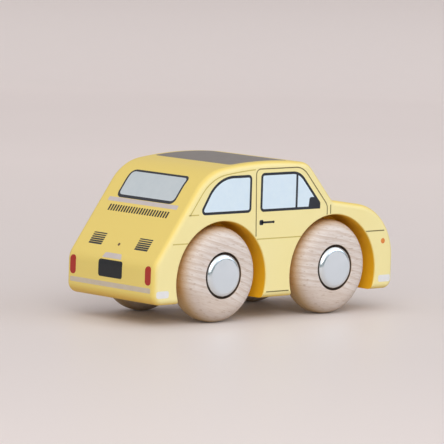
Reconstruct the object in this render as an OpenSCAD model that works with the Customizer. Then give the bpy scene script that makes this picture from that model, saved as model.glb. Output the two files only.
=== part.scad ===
// A wooden toy car: a painted block body with printed detail, turned wheels on steel axles, push-on caps.
// +X is forward, +Y is the car's left, +Z is up. The origin is on the ground under the middle of the car.

/* [Body] */
// Length of the body, tail to nose
body_length = 118; // [108:1:130]
// Width of the body across its flat sides
body_width = 49.4; // [46:0.2:56]
// Height of the roof's crown corner, which the crown radius eases a little lower
roof_height = 58.95; // [55:0.05:64]
// Height of the flat underside
ground_clearance = 8; // [6:0.5:10]
// Radius routed along both edges of the outline
edge_round = 2.2; // [1:0.1:2.8]

/* [Tail] */
// Height at which the upright tail bends into the sloping back
tail_height = 22.4; // [21:0.2:24]
// Distance from the tail forward to the corner of back and roof
back_run = 24.4; // [23:0.1:27]
// Fall of the roof from its crown corner back to that corner
roof_fall_rear = 3.6; // [2.5:0.1:5]
// Radius at the foot of the tail
tail_foot_round = 4; // [3.2:0.1:4.5]
// Radius of the bend between tail and back
tail_bend_round = 7.5; // [5:0.5:12]
// Radius between back and roof
roof_rear_round = 19.5; // [15:0.5:24]

/* [Roof and nose] */
// Place of the roof's crown corner, as a share of the way from the back to the windscreen
crown_share = 0.57; // [0.5:0.01:0.64]
// Radius over the crown of the roof, where the roof is long enough for it
crown_round = 160; // [90:5:200]
// Distance from the nose back to the top of the windscreen
screen_top_run = 44.25; // [43:0.05:46]
// Fall of the roof from its crown corner forward to the windscreen
roof_fall_front = 2.05; // [1.5:0.05:3]
// Radius between roof and windscreen
screen_top_round = 7.8; // [4:0.1:8]
// Distance from the nose back to the foot of the windscreen
screen_foot_run = 31.5; // [30:0.1:33]
// Height of the bonnet at the windscreen, as a share of the way from the arches up to the roof
bonnet_share = 0.242; // [0.18:0.002:0.3]
// Radius in the corner of windscreen and bonnet
screen_foot_round = 2.5; // [1:0.1:4]
// Fall of the bonnet from the windscreen to its corner with the nose, before that is rounded
nose_fall = 4.7; // [1.5:0.05:6]
// Radius between bonnet and nose, where the nose is high enough for it
nose_round = 20.6; // [18:0.1:25]
// Radius at the foot of the nose
nose_foot_round = 3.5; // [3.2:0.1:4.5]

/* [Wheels] */
// Diameter of the wheels
wheel_diameter = 35; // [32:0.5:38]
// Thickness of the wheels
wheel_thickness = 12.7; // [10:0.1:13]
// Radius turned on the outer edge of a wheel
wheel_outer_round = 5.8; // [2:0.1:6]
// Radius turned on the inner edge of a wheel, where the wheel is thick enough for it
wheel_inner_round = 5.5; // [1:0.1:6]
// How far the wheel faces stand out from the body's flat sides
wheel_proud = 1.1; // [0:0.1:1.5]
// Diameter of the recess that takes the cap
recess_diameter = 17; // [16.4:0.1:18]
// Depth of that recess
recess_depth = 2.1; // [1.4:0.1:3]
// Radius on the lip of the recess
recess_lip = 0.3; // [0.2:0.1:0.6]

/* [Wheel arches] */
// Room between the wheel and the round of its arch
arch_room = 4; // [3:0.1:4.6]
// How far the arch's centre lies below the axle
arch_drop = 1.9; // [1:0.1:2.4]
// Wood behind the rear arch, as a share of the length that the arches leave
tail_wood_share = 0.328125; // [0.28125:0.015625:0.375]
// Wood ahead of the front arch, as a share of the same length
nose_wood_share = 0.296875; // [0.265625:0.015625:0.34375]

/* [Axles and caps] */
// Diameter of the axles
axle_diameter = 4; // [3:0.1:5]
// Chamfer on the ends of the axles
axle_chamfer = 0.4; // [0.2:0.1:0.6]
// Outer diameter of the caps
cap_diameter = 15.9; // [14:0.1:15.9]
// Radius of the shoulder round a cap's flat face, where the cap is deep enough for it
cap_shoulder = 2; // [1:0.1:2.1]
// Sheet thickness of a cap
cap_wall = 0.6; // [0.4:0.05:0.7]
// Outer diameter of the collar that grips the axle
collar_diameter = 6.4; // [6:0.1:8]
// How far a cap stands out from the wheel's face
cap_proud = 0.85; // [0.8:0.05:2.2]

/* [Clearances] */
// Radial clearance of the axles in the body
axle_clearance = 0.07; // [0.04:0.01:0.09]
// Radial clearance of the wheels on the axles
wheel_clearance = 0.05; // [0.03:0.01:0.09]
// Gap between a wheel and the wall of its pocket
pocket_gap = 0.6; // [0.4:0.1:1]
// Gap between a cap and the floor of its recess
cap_gap = 0.3; // [0.2:0.1:0.5]
// Gap between the end of an axle and the inside of its cap
axle_end_gap = 0.2; // [0.1:0.05:0.4]
// Radial interference of the collar on the axle
cap_grip = 0.02; // [0.01:0.01:0.03]

/* [Print] */
// Thickness of the ink films
ink = 0.12; // [0.1:0.01:0.2]
// Width of the dark window frames
frame_width = 0.85; // [0.6:0.05:1.1]
// Width of the drawn lines
line_width = 0.4; // [0.3:0.05:0.6]

/* [Side windows] */
// Height of the lower edge of the side windows, as a share of the way from the arches up to the roof
belt_share = 0.119; // [0.1:0.001:0.16]
// Height of the door window, as a share of the door's height above that edge
door_window_share = 0.895; // [0.86:0.005:0.92]
// Height of the quarter window, as a share of the same height
quarter_share = 0.868; // [0.8:0.002:0.9]
// Distance of the quarter window from the back at its foot
quarter_foot_inset = 7.4; // [6:0.1:9]
// Distance of the quarter window from the back at its head
quarter_head_inset = 5.7; // [4.5:0.1:7]
// Radius of the quarter window's large corner, where the window is high enough for it
quarter_sweep = 14; // [8:0.5:16]
// Radius of the small window corners
window_round = 1.7; // [1.2:0.1:2.5]
// Radius of the door window's upper front corner
vent_round = 8; // [5:0.5:10]
// Distance of the door window from the windscreen
vent_inset = 7.3; // [6:0.1:9]
// Height of the upright front edge of the door window
vent_foot = 2.3; // [1.5:0.1:3]
// Radius of the door window's lower front corner, where that edge is high enough for it
vent_foot_round = 1.8; // [1:0.1:2.5]
// Distance from the front foot of the door window back to its divider
divider_run = 11.9; // [10:0.1:14]
// Distance of the quarter window from the rear edge of the door
quarter_pillar = 2.5; // [1.5:0.1:4]
// Distance of the door window from the rear edge of the door
door_pillar = 1.9; // [1.2:0.1:3]

/* [Door] */
// Distance from the rear axle to the rear edge of the door
door_rear_run = 15.9; // [15:0.1:17]
// Lean of that edge towards the tail
door_lean = 0.7; // [0:0.1:1.5]
// Room left for the crown's radius between the routed edge of the roof and the top of the door
door_head_gap = 1.15; // [1.1:0.05:2]
// Radius of the door's upper rear corner
door_head_round = 2.2; // [1:0.1:4]
// Radius of the door's upper front corner
door_sweep = 8; // [5:0.5:12]
// Distance of the door from the windscreen
door_screen_inset = 4.4; // [3.4:0.05:5]
// Distance from the foot of the windscreen back to the front edge of the door
door_front_run = 2.7; // [2.4:0.1:4]
// Radius where the front edge turns upright, where that edge is high enough for it
door_foot_round = 4; // [2:0.5:6]
// Height of the door handle, as a share of the way from the waist line up to the side windows
handle_share = 0.6; // [0.4:0.01:0.7]
// Length of the door handle
handle_length = 7.4; // [5:0.1:9]
// Thickness of the door handle
handle_bar = 0.9; // [0.5:0.05:1.2]
// Distance of the handle from the rear edge of the door
handle_inset = 1.7; // [1:0.1:3]
// Radius of the handle's boss
handle_boss = 0.95; // [0.6:0.05:1.4]
// Length of the mirror along the belt
mirror_length = 6; // [4:0.1:8]
// Height of the mirror
mirror_height = 4.4; // [3:0.1:5]
// Lean of the mirror's rear edge
mirror_lean = 0.6; // [0.2:0.1:1]
// Radius of the mirror's corners
mirror_round = 0.9; // [0.5:0.1:1]

/* [Panel lines] */
// Height of the waist line
waist_height = 30; // [28:0.1:32]
// Rise of the waist line ahead of the front wheel
waist_step = 0.25; // [0:0.05:1]
// Distance of the waist line's ends from the routed edges
waist_gap = 0.3; // [0.2:0.1:2.8]
// Height of the sill line above the underside
sill_rise = 2.4; // [1.5:0.1:3]
// Gap between the sill line and the arches at its ends
sill_gap = 0.9; // [0.5:0.1:2]
// Distance of the gutter line from the routed edges
gutter_gap = 0.1; // [0.1:0.1:0.6]
// Distance from the door's front edge to the wing line
wing_run = 1.7; // [1:0.1:2.5]
// Gap from the bonnet down to the top of the wing line
wing_drop = 1.5; // [1:0.1:2]

/* [Back] */
// Distance of the rear window from the sides
rear_window_inset = 8.7; // [7:0.1:11]
// Height of the rear window along the slope
rear_window_rise = 12.8; // [9:0.1:14]
// Distance of the rear window down the slope from the corner of back and roof
rear_window_gap = 2.45; // [1.5:0.05:4]
// Radius of the rear window's corners
rear_window_round = 2.5; // [1.5:0.1:4]
// Distance of the pale strip's ends from the sides
strip_inset = 5.5; // [4:0.1:9]
// Width of the pale strip
strip_width = 1.4; // [0.8:0.1:1.8]
// Gap between the strip and the window
strip_gap = 0.5; // [0.3:0.1:1]
// Number of vent slots
slot_count = 33; // [21:2:35]
// Distance between vent slots
slot_pitch = 1; // [0.8:0.02:1.04]
// Width of a vent slot
slot_width = 0.5; // [0.3:0.05:0.7]
// Length of a vent slot
slot_length = 2.7; // [2:0.1:3]
// Gap between the vent slots and the strip above them
slot_gap = 1.3; // [0.5:0.1:3]
// Bars in a louvre group
louvre_count = 6; // [4:1:7]
// Distance between louvre bars
louvre_pitch = 0.9; // [0.7:0.02:1]
// Width of a louvre bar
louvre_bar = 0.6; // [0.4:0.02:0.64]
// Length of a louvre bar
louvre_length = 7.1; // [5:0.1:8]
// Distance of the louvre groups from the middle
louvre_offset = 9.2; // [8:0.1:11]
// Distance up the slope to the louvres
louvre_run = 5.4; // [4:0.1:8]
// Radius of the lock
lock_radius = 0.6; // [0.4:0.05:0.9]
// Distance up the slope to the lock
lock_run = 6.6; // [5:0.1:9]
// Half width of the plate
plate_half = 6.6; // [5:0.1:8]
// Height of the plate
plate_rise = 6.3; // [5:0.1:7]
// Gap between the plate and the bumper below it
plate_gap = 1.7; // [1:0.1:2]
// Radius of the plate's corners
plate_round = 1; // [0.5:0.1:2]
// Half width of the plate lamp at its foot
plate_lamp_half = 5.3; // [4:0.1:6]
// Height of the plate lamp
plate_lamp_rise = 1.8; // [1.5:0.1:2.4]
// Gap between plate and plate lamp
plate_lamp_gap = 0.6; // [0.3:0.1:1]
// Distance of the tail lamps from the sides
tail_lamp_inset = 3.8; // [3.8:0.1:7]
// Width of a tail lamp
tail_lamp_width = 3.2; // [2:0.1:3.2]
// Height of a tail lamp
tail_lamp_rise = 6.9; // [6:0.1:8]
// Gap between the tail lamps and the bumper below them
tail_lamp_gap = 1; // [0.6:0.1:2]

/* [Bumpers] */
// Distance of the bumper stripes from the routed edges
bumper_gap = 0.1; // [0.1:0.1:4]
// Width of the bumper stripes
bumper_width = 1.8; // [1:0.1:2.2]
// Height of the bumper stripes above the underside
bumper_rise = 4.4; // [4:0.1:4.8]
// Length of the rear bumper ends, as a share of the side between the routed edge and the arch
rear_end_share = 0.55; // [0.4:0.01:0.7]
// Length of the front bumper ends, as a share of the same
front_end_share = 0.73; // [0.4:0.01:0.8]
// Width of the bumper ends
bumper_end_width = 2.6; // [1.5:0.1:3]
// Height of the bumper ends above the underside
bumper_end_rise = 2.7; // [2.4:0.1:4]
// Distance of the bumper ends from the routed edges
bumper_end_gap = 0.1; // [0.1:0.1:0.8]

/* [Roof panel and front] */
// Distance of the roof panel from the sides
roof_panel_inset = 3.7; // [3:0.1:7]
// Roof left behind the roof panel, as a share of the way from the back to the windscreen
panel_rear_share = 0.274; // [0.2:0.002:0.34]
// Roof left ahead of the roof panel, as a share of the same
panel_front_share = 0.157; // [0.1:0.001:0.25]
// Radius of the roof panel's corners
roof_panel_round = 1.5; // [0.5:0.1:4]
// Distance of the windscreen from the sides
windscreen_inset = 7.2; // [6:0.1:10]
// Slope left below the windscreen, as a share of the slope's length
windscreen_foot_share = 0.123; // [0.1:0.001:0.16]
// Slope left above the windscreen, as a share of the same
windscreen_head_share = 0.231; // [0.18:0.001:0.3]
// Radius of the windscreen's corners
windscreen_round = 3; // [1.5:0.1:3.5]
// Radius of the headlamps
headlamp_radius = 3.9; // [3:0.1:4.5]
// Width of the ring round a headlamp
headlamp_ring = 0.7; // [0.5:0.1:1]
// Distance of the headlamps from the sides
headlamp_inset = 9.7; // [8:0.1:13]
// Angle at which the headlamps sit on the round of the nose
headlamp_angle = 30; // [24:1:40]
// Radius of the side indicators
indicator_radius = 1; // [0.7:0.05:1.4]
// Distance of the indicators from the round of the nose
indicator_inset = 4.85; // [4:0.05:6]
// Distance of the indicators below the waist line
indicator_drop = 3.9; // [2.5:0.1:6]

/* [Hidden] */
$fn = 96;
// Largest turn between neighbouring points of an arc, in degrees
arc_step = 6;
// Longest straight piece of an arc
arc_chord = 4;
// Steps in the quarter round of an edge
edge_steps = 5;
// How far a cut or a stencil runs past the face that it meets
overrun = 1;
// Depth that a stencil reaches below a curved face
stencil_depth = 6;
// Corner radius of the narrow bars, as a share of their shorter side
bar_corner = 1 / 3;
// End radius of the tail lamps, as a share of their width
lamp_end = 0.45;
// Least straight tread between the two rounds of a wheel
tread_least = 0.4;
// Least straight skirt inside a cap, under its shoulder
skirt_least = 0.05;

tail_x = -body_length / 2;
nose_x = body_length / 2;
side_y = body_width / 2;
flat_half = side_y - edge_round;

wheel_radius = wheel_diameter / 2;
axle_height = wheel_radius;
arch_radius = wheel_radius + arch_room;
arch_height = axle_height - arch_drop;
arch_top = arch_height + arch_radius;
free_wood = body_length - 4 * arch_radius;
tail_wood = tail_wood_share * free_wood;
nose_wood = nose_wood_share * free_wood;
rear_axle_x = tail_x + tail_wood + arch_radius;
front_axle_x = nose_x - nose_wood - arch_radius;
wheel_face = side_y + wheel_proud;
wheel_back = wheel_face - wheel_thickness;
wheel_inner_radius = min(wheel_inner_round, wheel_thickness - wheel_outer_round - tread_least);
pocket_wall = wheel_back - pocket_gap;
axle_radius = axle_diameter / 2;
cap_radius = cap_diameter / 2;
cap_back = wheel_face - recess_depth + cap_gap;
cap_height = wheel_face + cap_proud - cap_back;
cap_shoulder_radius = min(cap_shoulder, cap_height - cap_wall - skirt_least);
axle_half = wheel_face + cap_proud - cap_wall - axle_end_gap;

bonnet_height = arch_top + bonnet_share * (roof_height - arch_top);
belt_height = arch_top + belt_share * (roof_height - arch_top);
nose_height = bonnet_height - nose_fall;
roof_rear = [tail_x + back_run, roof_height - roof_fall_rear];
tail_bend = [tail_x, tail_height];
screen_top = [nose_x - screen_top_run, roof_height - roof_fall_front];
screen_foot = [nose_x - screen_foot_run, bonnet_height];
nose_corner = [nose_x, nose_height];
roof_run = screen_top[0] - roof_rear[0];
crown = [roof_rear[0] + crown_share * roof_run, roof_height];
back_length = norm(roof_rear - tail_bend);
screen_length = norm(screen_top - screen_foot);
back_angle = atan2(roof_rear[1] - tail_bend[1], roof_rear[0] - tail_bend[0]);
rear_roof_angle = atan2(crown[1] - roof_rear[1], crown[0] - roof_rear[0]);
front_roof_angle = atan2(crown[1] - screen_top[1], screen_top[0] - crown[0]);
screen_angle = atan2(screen_top[1] - screen_foot[1], screen_foot[0] - screen_top[0]);
bonnet_angle = atan2(screen_foot[1] - nose_corner[1], nose_corner[0] - screen_foot[0]);

// Straight lengths that the neighbouring radii leave for the radii of crown and nose
rear_room = norm(crown - roof_rear) - roof_rear_round * tan((back_angle - rear_roof_angle) / 2);
front_room = norm(screen_top - crown) - screen_top_round * tan((screen_angle - front_roof_angle) / 2);
nose_room = nose_height - ground_clearance - nose_foot_round;
crown_radius = min(crown_round, min(rear_room, front_room) / tan((rear_roof_angle + front_roof_angle) / 2));
nose_radius = min(nose_round, nose_room / tan(45 - bonnet_angle / 2));
nose_centre = [nose_x - nose_radius, nose_height - nose_radius * tan(45 - bonnet_angle / 2)];

door_rear = rear_axle_x + door_rear_run;
door_front = screen_foot[0] - door_front_run;
door_head = roof_height - edge_round - door_head_gap;
door_window_top = belt_height + door_window_share * (door_head - belt_height);
quarter_top = belt_height + quarter_share * (door_head - belt_height);
door_window_rear = door_rear + door_pillar;
vent_foot_x = on_screen(belt_height + vent_foot) - vent_inset;
vent_corner = min(vent_foot_round, vent_foot - frame_width / 2);
quarter_front = door_rear - quarter_pillar;
quarter_foot = [on_back(belt_height) + quarter_foot_inset, belt_height];
quarter_head = [on_back(quarter_top) + quarter_head_inset, quarter_top];
quarter_angle = atan2(quarter_head[1] - quarter_foot[1], quarter_head[0] - quarter_foot[0]);
quarter_room = norm(quarter_head - quarter_foot) - window_round / tan(quarter_angle / 2);
quarter_radius = min(quarter_sweep, quarter_room / tan(quarter_angle / 2));
handle_height = waist_height + handle_share * (belt_height - waist_height);
sill_height = ground_clearance + sill_rise;

rear_window_high = back_length - rear_window_gap;
rear_window_low = rear_window_high - rear_window_rise;
strip_high = rear_window_low - strip_gap;
strip_low = strip_high - strip_width;
bumper_low = ground_clearance + bumper_rise;
bumper_high = bumper_low + bumper_width;
plate_low = bumper_high + plate_gap;
plate_high = plate_low + plate_rise;

// Sides of the car and their direction along Y
SIDES = [["left", 1], ["right", -1]];
// Axles of the car and their places along X
AXLES = [["rear", rear_axle_x], ["front", front_axle_x]];

// Drawing of outlines

// Flat place of a corner, without its radius
function place(corner) = [corner[0], corner[1]];

// Unit vector along v
function unit(v) = v / norm(v);

// Normal to the right of the direction v
function right_of(v) = [v[1], -v[0]];

// Vector v turned by an angle
function turned(v, angle) = [v[0] * cos(angle) - v[1] * sin(angle), v[0] * sin(angle) + v[1] * cos(angle)];

// Angle from direction a to direction b, left turns positive
function turn_between(a, b) = atan2(a[0] * b[1] - a[1] * b[0], a * b);

// Points and right-hand normals round the corner b, between its neighbours a and c; b[2] is its radius
function corner_frames(a, b, c) =
    let (
        way_in = unit(place(b) - place(a)),
        way_out = unit(place(c) - place(b)),
        turn = turn_between(way_in, way_out),
        radius = b[2],
        normal = right_of(way_in),
        centre = place(b) - way_in * radius * tan(abs(turn) / 2) - normal * radius * sign(turn),
        arc_length = radius * abs(turn) * PI / 180,
        steps = max(1, ceil(abs(turn) / arc_step), ceil(arc_length / arc_chord))
    )
    radius == 0
        ? [[place(b), (normal + right_of(way_out)) / (1 + way_in * way_out)]]
        : [for (i = [0 : steps])
            let (n = turned(normal, turn * i / steps)) [centre + n * radius * sign(turn), n]];

// Points and outward normals of a closed outline, drawn anticlockwise
function outline_frames(corners) =
    let (count = len(corners))
    [for (i = [0 : count - 1])
        each corner_frames(corners[(i + count - 1) % count], corners[i], corners[(i + 1) % count])];

// Points of a closed outline, moved outwards by grow
function outline(corners, grow = 0) = [for (f = outline_frames(corners)) f[0] + f[1] * grow];

// Points and normals of an open path
function path_frames(corners) =
    let (last = len(corners) - 1)
    concat(
        [[place(corners[0]), right_of(unit(place(corners[1]) - place(corners[0])))]],
        [for (i = [1 : 1 : last - 1]) each corner_frames(corners[i - 1], corners[i], corners[i + 1])],
        [[place(corners[last]), right_of(unit(place(corners[last]) - place(corners[last - 1])))]]
    );

// Outline of a line of one width drawn along an open path
function stroke(corners, width) =
    let (frames = path_frames(corners), last = len(frames) - 1)
    concat(
        [for (f = frames) f[0] + f[1] * width / 2],
        [for (i = [last : -1 : 0]) frames[i][0] - frames[i][1] * width / 2]
    );

// Corners of a rectangle about a middle line, from low to high
function upright_box(half, low, high, radius) =
    [[-half, low, radius], [half, low, radius], [half, high, radius], [-half, high, radius]];

// Corners of a rectangle between two corners
function flat_box(low, high, radius) =
    [for (p = [low, [high[0], low[1]], high, [low[0], high[1]]]) concat(p, radius)];

// Corners of a narrow bar between two corners
function bar(low, high) = flat_box(low, high, bar_corner * min(high - low));

// Places on the body

// Outline of the body in the plane of X and Z
BODY_CORNERS = [
    [tail_x, ground_clearance, tail_foot_round],
    [nose_x, ground_clearance, nose_foot_round],
    concat(nose_corner, nose_radius),
    concat(screen_foot, screen_foot_round),
    concat(screen_top, screen_top_round),
    concat(crown, crown_radius),
    concat(roof_rear, roof_rear_round),
    concat(tail_bend, tail_bend_round),
];

// X of the straight back at a height
function on_back(z) = tail_bend[0] + (z - tail_bend[1]) / tan(back_angle);

// X of the straight windscreen at a height
function on_screen(z) = screen_foot[0] - (z - screen_foot[1]) / tan(screen_angle);

// X of the round of the nose at a height
function on_nose(z) = nose_centre[0] + sqrt(nose_radius ^ 2 - (z - nose_centre[1]) ^ 2);

// Height of the rim of an arch at a distance from its axle
function arch_rim(run) = arch_height + sqrt(arch_radius ^ 2 - run ^ 2);

// Distance of the rim of an arch from its axle at a height
function arch_run(z) = sqrt(arch_radius ^ 2 - (z - arch_height) ^ 2);

// Rings of the body, each with its place along Y and its inset from the outline
function body_rings() =
    let (
        quarter = [for (i = [0 : edge_steps]) 90 * i / edge_steps]
    )
    concat(
        [for (t = quarter) [-flat_half - edge_round * cos(t), edge_round * (1 - sin(t))]],
        [for (i = [edge_steps : -1 : 0])
            [flat_half + edge_round * cos(quarter[i]), edge_round * (1 - sin(quarter[i]))]]
    );

// The whole block with its routed edges
module body_block() {
    frames = outline_frames(BODY_CORNERS);
    rings = body_rings();
    count = len(frames);
    last = len(rings) - 1;
    points = [for (ring = rings, f = frames)
        let (p = f[0] - f[1] * ring[1]) [p[0], ring[0], p[1]]];
    walls = [for (r = [0 : last - 1], i = [0 : count - 1])
        let (a = r * count + i, b = r * count + (i + 1) % count)
        each [[a, b, b + count], [a, b + count, a + count]]];
    near_side = [for (i = [count - 1 : -1 : 0]) i];
    far_side = [for (i = [0 : count - 1]) last * count + i];
    polyhedron(points, concat([near_side], walls, [far_side]), convexity = 6);
}

// Film of ink across the back, roof or nose, clear of the routed edges
module printed_across() {
    intersection() {
        rotate([90, 0, 0])
            linear_extrude(body_width, center = true)
                difference() {
                    polygon(outline(BODY_CORNERS, ink));
                    polygon(outline(BODY_CORNERS));
                }
        children();
    }
}

// Film of ink on a flat side, drawn in X and Z
module printed_side(side) {
    translate([0, side * side_y + max(side, 0) * ink, 0])
        rotate([90, 0, 0])
            linear_extrude(ink)
                children();
}

// Stencil on a face that looks backwards, with its own Y up the slope from a place in X and Z
module back_stencil(from, angle) {
    translate([from[0], 0, from[1]])
        rotate([angle, 0, -90])
            translate([0, 0, -stencil_depth])
                linear_extrude(stencil_depth + overrun)
                    children();
}

// Stencil on a face that looks forwards, with its own Y up the slope from a place in X and Z
module front_stencil(from, angle) {
    translate([from[0], 0, from[1]])
        rotate([angle, 0, 90])
            translate([0, 0, -stencil_depth])
                linear_extrude(stencil_depth + overrun)
                    children();
}

// Loose pieces

module wheel_pocket(axle_x, side) {
    translate([axle_x, side * pocket_wall, arch_height])
        rotate([-90 * side, 0, 0])
            cylinder(h = side_y - pocket_wall + overrun, r = arch_radius);
}

module axle_bore(axle_x) {
    translate([axle_x, 0, axle_height])
        rotate([90, 0, 0])
            cylinder(h = 2 * (pocket_wall + overrun), r = axle_radius + axle_clearance, center = true);
}

module wood_body() {
    color("#f3dd8e")
        difference() {
            body_block();
            for (axle = AXLES, side = SIDES)
                wheel_pocket(axle[1], side[1]);
            for (axle = AXLES)
                axle_bore(axle[1]);
        }
}

module axle_rod(axle_x) {
    color("#b9bdc0")
        translate([axle_x, 0, axle_height])
            rotate([90, 0, 0])
                rotate_extrude()
                    polygon([
                        [0, -axle_half],
                        [axle_radius - axle_chamfer, -axle_half],
                        [axle_radius, axle_chamfer - axle_half],
                        [axle_radius, axle_half - axle_chamfer],
                        [axle_radius - axle_chamfer, axle_half],
                        [0, axle_half],
                    ]);
}

module wheel(axle_x, side) {
    bore_radius = axle_radius + wheel_clearance;
    recess_radius = recess_diameter / 2;
    recess_floor = wheel_thickness - recess_depth;
    color("#d8c3a5")
        translate([axle_x, side * wheel_back, axle_height])
            rotate([-90 * side, 0, 0])
                rotate_extrude()
                    polygon(outline([
                        [bore_radius, 0, 0],
                        [wheel_radius, 0, wheel_inner_radius],
                        [wheel_radius, wheel_thickness, wheel_outer_round],
                        [recess_radius, wheel_thickness, recess_lip],
                        [recess_radius, recess_floor, 0],
                        [bore_radius, recess_floor, 0],
                    ]));
}

// Outer corners of a cap, from its open back to its flat face
CAP = [
    [0, 0, 0],
    [cap_radius, 0, 0],
    [cap_radius, cap_height, cap_shoulder_radius],
    [0, cap_height, 0],
];

// Half section of a cap: a pressed shell with a collar in its middle that grips the axle
module cap_section() {
    ceiling = cap_height - cap_wall;
    difference() {
        polygon(outline(CAP));
        difference() {
            union() {
                polygon(outline(CAP, -cap_wall));
                square([cap_radius - cap_wall, cap_wall]);
            }
            square([collar_diameter / 2, cap_height]);
        }
        square([axle_radius - cap_grip, ceiling]);
    }
}

module axle_cap(axle_x, side) {
    color("#c9d2d7")
        translate([axle_x, side * cap_back, axle_height])
            rotate([-90 * side, 0, 0])
                rotate_extrude()
                    cap_section();
}

// Print on the roof and the back

module roof_panel() {
    half = side_y - roof_panel_inset;
    low = [roof_rear[0] + panel_rear_share * roof_run, -half];
    high = [screen_top[0] - panel_front_share * roof_run, half];
    color("#7d7976")
        printed_across()
            translate([0, 0, roof_height - stencil_depth])
                linear_extrude(stencil_depth + overrun)
                    polygon(outline(flat_box(low, high, roof_panel_round)));
}

// Corners of the rear window on the slope of the back
REAR_WINDOW = upright_box(
    side_y - rear_window_inset, rear_window_low, rear_window_high, rear_window_round);

module rear_window_glass() {
    color("#c5ced3")
        printed_across()
            back_stencil(tail_bend, back_angle)
                polygon(outline(REAR_WINDOW, -frame_width));
}

module rear_window_frame() {
    color("#2b3440")
        printed_across()
            back_stencil(tail_bend, back_angle)
                difference() {
                    polygon(outline(REAR_WINDOW));
                    polygon(outline(REAR_WINDOW, -frame_width));
                }
}

module rear_strip() {
    half = side_y - strip_inset;
    color("#c9c2c4")
        printed_across()
            back_stencil(tail_bend, back_angle)
                polygon(outline(bar([-half, strip_low], [half, strip_high])));
}

module vent_slots() {
    slot_low = strip_low - slot_gap - slot_length;
    color("#3a3428")
        printed_across()
            back_stencil(tail_bend, back_angle)
                for (i = [0 : slot_count - 1])
                    translate([(i - (slot_count - 1) / 2) * slot_pitch - slot_width / 2, slot_low])
                        square([slot_width, slot_length]);
}

module engine_louvres() {
    color("#25262b")
        printed_across()
            back_stencil(tail_bend, back_angle)
                for (end = [louvre_offset, -louvre_offset - louvre_length], i = [0 : louvre_count - 1])
                    translate([end, louvre_run + i * louvre_pitch])
                        square([louvre_length, louvre_bar]);
}

module lid_lock() {
    color("#5a3a2a")
        printed_across()
            back_stencil(tail_bend, back_angle)
                translate([0, lock_run])
                    circle(lock_radius);
}

module plate_lamp() {
    foot = plate_high + plate_lamp_gap;
    head = foot + plate_lamp_rise;
    shoulder = plate_lamp_half - plate_lamp_rise / 2;
    color("#d3c6cd")
        printed_across()
            back_stencil([tail_x, 0], 90)
                polygon(outline([
                    [-plate_lamp_half, foot, 0],
                    [plate_lamp_half, foot, 0],
                    [shoulder, head, plate_lamp_rise / 2],
                    [-shoulder, head, plate_lamp_rise / 2],
                ]));
}

module rear_plate() {
    color("#313234")
        printed_across()
            back_stencil([tail_x, 0], 90)
                polygon(outline(upright_box(plate_half, plate_low, plate_high, plate_round)));
}

module tail_lamp(side) {
    end_round = lamp_end * tail_lamp_width;
    color("#aa3224")
        printed_across()
            back_stencil([tail_x, 0], 90)
                translate([-side * (side_y - tail_lamp_inset), bumper_high + tail_lamp_gap])
                    polygon(outline(upright_box(tail_lamp_width / 2, 0, tail_lamp_rise, end_round)));
}

// Corners of a bumper stripe
BUMPER = bar([bumper_gap - flat_half, bumper_low], [flat_half - bumper_gap, bumper_high]);

module rear_bumper() {
    color("#bdb1ae")
        printed_across()
            back_stencil([tail_x, 0], 90)
                polygon(outline(BUMPER));
}

module front_bumper() {
    color("#bdb1ae")
        printed_across()
            front_stencil([nose_x, 0], 90)
                polygon(outline(BUMPER));
}

// Print on the front

// Corners of the windscreen on its slope
WINDSCREEN = upright_box(
    side_y - windscreen_inset,
    windscreen_foot_share * screen_length,
    (1 - windscreen_head_share) * screen_length,
    windscreen_round);

module windscreen_glass() {
    color("#c5ced3")
        printed_across()
            front_stencil(screen_foot, screen_angle)
                polygon(outline(WINDSCREEN, -frame_width));
}

module windscreen_frame() {
    color("#2b3440")
        printed_across()
            front_stencil(screen_foot, screen_angle)
                difference() {
                    polygon(outline(WINDSCREEN));
                    polygon(outline(WINDSCREEN, -frame_width));
                }
}

// Stencil square to the round of the nose, centred on a headlamp
module headlamp_stencil(side) {
    lamp = nose_centre + nose_radius * [cos(headlamp_angle), sin(headlamp_angle)];
    front_stencil(lamp, 90 - headlamp_angle)
        translate([side * (side_y - headlamp_inset), 0])
            children();
}

module headlamp(side) {
    color("#e6e4dc")
        printed_across()
            headlamp_stencil(side)
                circle(headlamp_radius);
}

module headlamp_ring(side) {
    color("#8f9396")
        printed_across()
            headlamp_stencil(side)
                difference() {
                    circle(headlamp_radius + headlamp_ring);
                    circle(headlamp_radius);
                }
}

// Print on the sides

// Corners of the quarter window behind the door
QUARTER_WINDOW = [
    concat(quarter_foot, window_round),
    [quarter_front, belt_height, window_round],
    [quarter_front, quarter_top, window_round],
    concat(quarter_head, quarter_radius),
];

// Corners of the door window
DOOR_WINDOW = [
    [door_window_rear, belt_height, window_round],
    [vent_foot_x, belt_height, vent_corner],
    [vent_foot_x, belt_height + vent_foot, frame_width],
    [on_screen(door_window_top) - vent_inset, door_window_top, vent_round],
    [door_window_rear, door_window_top, window_round],
];

// Corners of the mirror in the front foot of the door window
MIRROR = [
    [vent_foot_x - mirror_length, belt_height, 0],
    [vent_foot_x, belt_height, 0],
    [vent_foot_x, belt_height + vent_foot, mirror_round],
    [vent_foot_x - mirror_length / 2, belt_height + mirror_height, mirror_round],
    [vent_foot_x - mirror_length + mirror_lean, belt_height + mirror_height, mirror_round],
];

module quarter_glass(side) {
    color("#d4e8f3")
        printed_side(side)
            polygon(outline(QUARTER_WINDOW, -frame_width));
}

module quarter_frame(side) {
    color("#1f2733")
        printed_side(side)
            difference() {
                polygon(outline(QUARTER_WINDOW));
                polygon(outline(QUARTER_WINDOW, -frame_width));
            }
}

// Bar that divides the door window from its vent
module divider() {
    translate([vent_foot_x - divider_run - frame_width / 2, belt_height])
        square([frame_width, door_window_top - belt_height]);
}

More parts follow.
